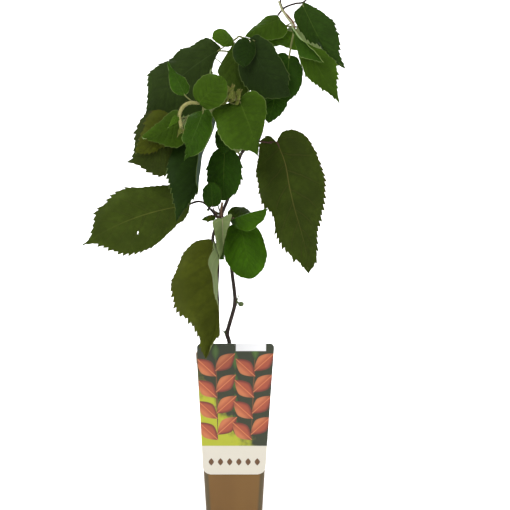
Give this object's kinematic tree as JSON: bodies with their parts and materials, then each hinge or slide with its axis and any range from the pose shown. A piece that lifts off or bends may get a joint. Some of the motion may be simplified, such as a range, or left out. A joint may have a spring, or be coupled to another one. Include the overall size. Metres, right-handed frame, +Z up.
{
  "type": "potted kiwi vine",
  "caption": "Young kiwi vine with a slim twining stem and broad toothed leaves, in a tall square pot with a picture card hooked over its rim.",
  "frame": {"origin": "middle of the pot's flat underside, on the surface that it stands on", "axes": "+Z up, -Y towards the picture card, +X to the right of someone who looks at the card"},
  "size_m": [0.3016, 0.1857, 0.6645],
  "materials": {
    "pot_plastic": "satin",
    "soil": "matte",
    "card": "satin",
    "bark": "matte",
    "young_stem": "matte",
    "foliage": "satin"
  },
  "bodies": {
    "root": {"pot": "pot_plastic", "soil": "soil", "picture_card": "card", "main_stem": "bark", "top_arc": "bark", "left_shoot": "young_stem", "lower_left_shoot": "young_stem", "upper_left_shoot": "young_stem", "back_shoot": "young_stem", "foliage_low": "foliage", "foliage_middle": "foliage", "foliage_right": "foliage", "foliage_shoot_tip": "foliage", "foliage_left": "foliage", "foliage_upper_left": "foliage", "foliage_centre": "foliage", "foliage_low_centre": "foliage", "foliage_upper": "foliage", "foliage_top": "foliage", "foliage_right_top": "foliage", "foliage_leader": "foliage", "foliage_back_middle": "foliage", "foliage_back_upper": "foliage", "foliage_back_low": "foliage", "foliage_back_right": "foliage"}
  },
  "joints": []
}
